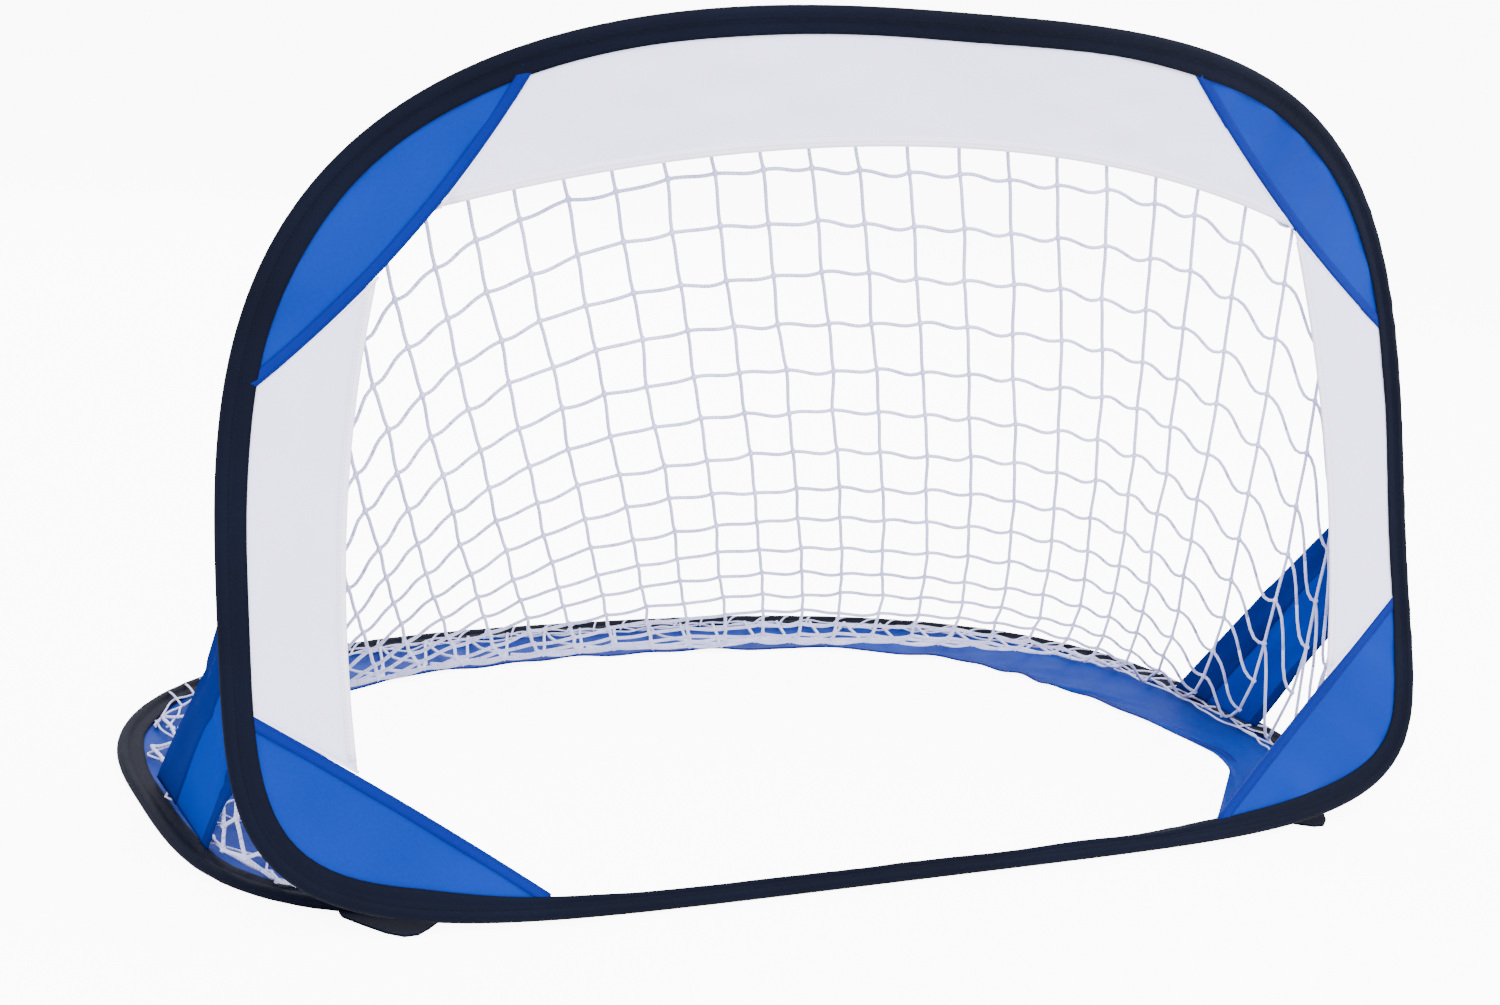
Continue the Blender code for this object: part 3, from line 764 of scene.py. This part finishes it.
def make_net_edge():
    """Edge of the net on the base hoop: slack cells along it, whip stitches and loose cells at the sides."""
    paths = []
    place = np.linspace(12.6, 44.6, 513)
    travel = place * base_hoop.length / PLACES
    drift = 1.6 * waves(travel, seed=131, length=(0.5,))
    for k in range(3):
        swing = 0.0042 * np.sin(2 * np.pi * travel / 0.125 + np.pi * k + drift)
        swing = swing + 0.0016 * waves(travel, seed=133 + k, length=(0.06,))
        height = 0.0080 + 0.0016 * waves(travel, seed=141 + k, length=(0.06,))
        paths.append(on_band(place, 0.026 + 0.0066 * k + swing, height))
    place = 14.2
    while place < 43.4:
        part = np.linspace(0, 1, 7)
        lean = -0.42 - 0.15 * np.sin(7 * place)
        inset = 0.036 - 0.027 * part
        paths.append(on_band(place + lean * part, inset, 0.0086 + 0.0034 * np.sin(np.pi * part * 0.8)))
        place += 0.66
    place = np.arange(44.2, 55.6, 1.05)
    pick = np.random.default_rng(157)
    lines = []
    for k, inset in enumerate((0.022, 0.058, 0.092)):
        shift, shake = pick.normal(0, 0.09, len(place)), pick.normal(0, 0.003, len(place))
        lines.append((place + shift + 0.1 * k, inset + shake))
    for upper, lower, flip in zip(lines[:-1], lines[1:], (0, 1)):
        zigzag = [(upper if (j + flip) % 2 == 0 else lower) for j in range(len(place))]
        knots = np.array([(line[0][j], line[1][j]) for j, line in enumerate(zigzag)])
        fine = np.linspace(0, len(knots) - 1, 9 * len(knots))
        run = [np.interp(fine, np.arange(len(knots)), knots[:, axis]) for axis in (0, 1)]
        curl = 0.0040 * waves(fine, seed=157 + flip, length=(1.1,))
        height = 0.0075 + 0.0012 * waves(fine, seed=162, length=(2.1,))
        paths.append(on_band(run[0] + 12 * curl, run[1] + curl, height))
    edge = cords("net_sewn_edge", paths, EDGE_CORD_RADIUS, net_look, sides=5)
    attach(edge, "base")


make_net()
make_net_edge()


# ---------------------------------------------------------------- straps


def strap_ends(side):
    hoop = [on_front(np.array([[side * STRAP_X, q]]), np.array([-0.004]))[0] for q in STRAP_HOOP[side]]
    ring = [on_ground(np.array([side * STRAP_X, q]), 0.0112) for q in STRAP_RING[side]]
    return hoop, ring


def make_strap(name, side):
    """Side strap between the hoops, with a narrow front hem and a wide rear fold."""
    hoop, ring = strap_ends(side)
    down = np.linspace(0, 1, 49)

    def part(first, last, count):
        t = down[:, None]
        step = np.linspace(0, 1, count)
        w = np.asarray(first)[:, None] * (1 - step) + np.asarray(last)[:, None] * step
        high = hoop[0] * (1 - w[..., None]) + hoop[1] * w[..., None]
        low = ring[0] * (1 - w[..., None]) + ring[1] * w[..., None]
        points = high * (1 - t[..., None]) + low * t[..., None]
        along, across = 0.42 * t + 0 * w, 0.15 * w + 0 * t
        fold = 0.0022 * waves(along, across, seed=101 + side, length=(0.34, 0.05))
        crease = 0.0018 * np.exp(-(((along - 0.27 + 0.35 * across) / 0.012) ** 2))
        points[..., 0] -= side * (0.0045 + fold + crease) * np.sin(np.pi * t) ** 1.4
        return points, np.stack([along, across], axis=-1)

    points, uv = part(0 * down, 0 * down + 1, 25)
    strap = cloth(name + "_strap_cloth", points, 0.0007, strap_cloth, uv=uv)
    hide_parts(name + "_strap")
    pieces = []
    for label, first, last, count in (
        ("front_hem", 0 * down, 0 * down + 0.09, 4), ("rear_fold", 0.68 - 0.08 * down, 0 * down + 1, 10)
    ):
        points, uv = part(first, last, count)
        pieces.append(cloth(f"{name}_strap_{label}", points, 0.0020, fold_cloth, uv=uv))
    for item in [strap] + pieces:
        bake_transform(item)


def make_zip_details(name, side):
    """Row of coil teeth along the tape."""
    hoop, ring = strap_ends(side)
    along = (ring[1] - hoop[1]) / np.linalg.norm(ring[1] - hoop[1])
    outward = np.array([side, 0, 0]) - along * along[0] * side
    outward /= np.linalg.norm(outward)
    off = np.cross(outward, along) * side
    start = hoop[1] + off * 0.0015
    paths = []
    for reach in np.arange(0.010, 0.054, 0.0016):
        centre = start + along * reach + off * 0.0055 + outward * 0.0006
        paths.append(np.stack([centre - off * 0.0014, centre, centre + off * 0.0014]))
    teeth = cords(name + "_zip_teeth", paths, 0.00045, tooth_look, sides=5)
    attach(teeth, "front_frame")


for side_name, side_sign in (("left", -1), ("right", 1)):
    make_strap(side_name, side_sign)
    make_zip_details(side_name, side_sign)


# ---------------------------------------------------------------- carried-over CAD nodes

for node_name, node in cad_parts.items():
    if node.hide_render:
        continue
    if "hoop" in node_name:
        finish = strip_look
    elif "slider" in node_name or "pull" in node_name:
        finish = chrome_look
    else:
        finish = navy_tape
    node.data.materials.clear()
    node.data.materials.append(finish)


# ---------------------------------------------------------------- camera, floor and light


def make_camera():
    yaw, pitch, roll = 0.492, -0.231, 0.09
    ahead = np.array([np.sin(yaw) * np.cos(pitch), np.cos(yaw) * np.cos(pitch), np.sin(pitch)])
    level = np.array([np.cos(yaw), -np.sin(yaw), 0])
    up = np.cross(level, ahead)
    right = np.cos(roll) * level + np.sin(roll) * up
    top = -np.sin(roll) * level + np.cos(roll) * up
    data = bpy.data.cameras.new("photo_camera")
    data.lens = 2290.8 / 1500 * data.sensor_width
    camera = bpy.data.objects.new("photo_camera", data)
    bpy.context.scene.collection.objects.link(camera)
    matrix = Matrix.Identity(4)
    for row in range(3):
        matrix[row][0], matrix[row][1], matrix[row][2] = right[row], top[row], -ahead[row]
    matrix[0][3], matrix[1][3], matrix[2][3] = -1.04, -1.944, 0.765
    camera.matrix_world = matrix
    bpy.context.scene.camera = camera


def make_floor():
    mesh = bpy.data.meshes.new("floor")
    size = 150
    corners = [(-size, -size, 0), (size, -size, 0), (size, size, 0), (-size, size, 0)]
    mesh.from_pydata(corners, [], [(0, 1, 2, 3)])
    floor = bpy.data.objects.new("floor", mesh)
    bpy.context.scene.collection.objects.link(floor)
    look = Look("floor", 0.9)
    coords = look.node("ShaderNodeTexCoord")
    cloudy = look.noise(coords.outputs["Object"], 1.5)
    look.link(look.mix(cloudy, (0.86, 0.86, 0.86), (0.90, 0.90, 0.90)), look.shader.inputs["Base Color"])
    look.shader.inputs["Specular IOR Level"].default_value = 0.1
    look.shader.inputs["Emission Color"].default_value = (1, 1, 1, 1)
    seen = look.node("ShaderNodeLightPath").outputs["Is Camera Ray"]
    look.link(look.math("MULTIPLY", seen, 8.5), look.shader.inputs["Emission Strength"])
    mesh.materials.append(look.material)


def area_light(name, place, aim, size, power):
    data = bpy.data.lights.new(name, "AREA")
    data.size = size
    data.energy = power
    light = bpy.data.objects.new(name, data)
    bpy.context.scene.collection.objects.link(light)
    way = np.array(aim, float) - np.array(place, float)
    way /= np.linalg.norm(way)
    side = np.cross(way, [0, 0, 1.0])
    side /= np.linalg.norm(side)
    up = np.cross(side, way)
    matrix = Matrix.Identity(4)
    for row in range(3):
        matrix[row][0], matrix[row][1], matrix[row][2] = side[row], up[row], -way[row]
        matrix[row][3] = place[row]
    light.matrix_world = matrix


make_camera()
make_floor()
area_light("key_light", (-1.6, -3.2, 3.4), (0, 0, 0.3), 2.5, 290)
area_light("fill_light", (2.8, -2.0, 2.6), (0, 0, 0.3), 2.5, 145)
area_light("back_light", (0.5, 3.2, 2.8), (0, 0, 0.3), 3.0, 145)
world = bpy.data.worlds.new("studio")
bpy.context.scene.world = world
world.use_nodes = True
sky = world.node_tree.nodes["Background"]
sky.inputs["Color"].default_value = (0.95, 0.96, 1.0, 1)
seen_directly = world.node_tree.nodes.new("ShaderNodeLightPath")
sky_strength = world.node_tree.nodes.new("ShaderNodeMapRange")
sky_strength.inputs["To Min"].default_value = 2.0
sky_strength.inputs["To Max"].default_value = 10.5
world.node_tree.links.new(seen_directly.outputs["Is Camera Ray"], sky_strength.inputs["Value"])
world.node_tree.links.new(sky_strength.outputs[0], sky.inputs["Strength"])
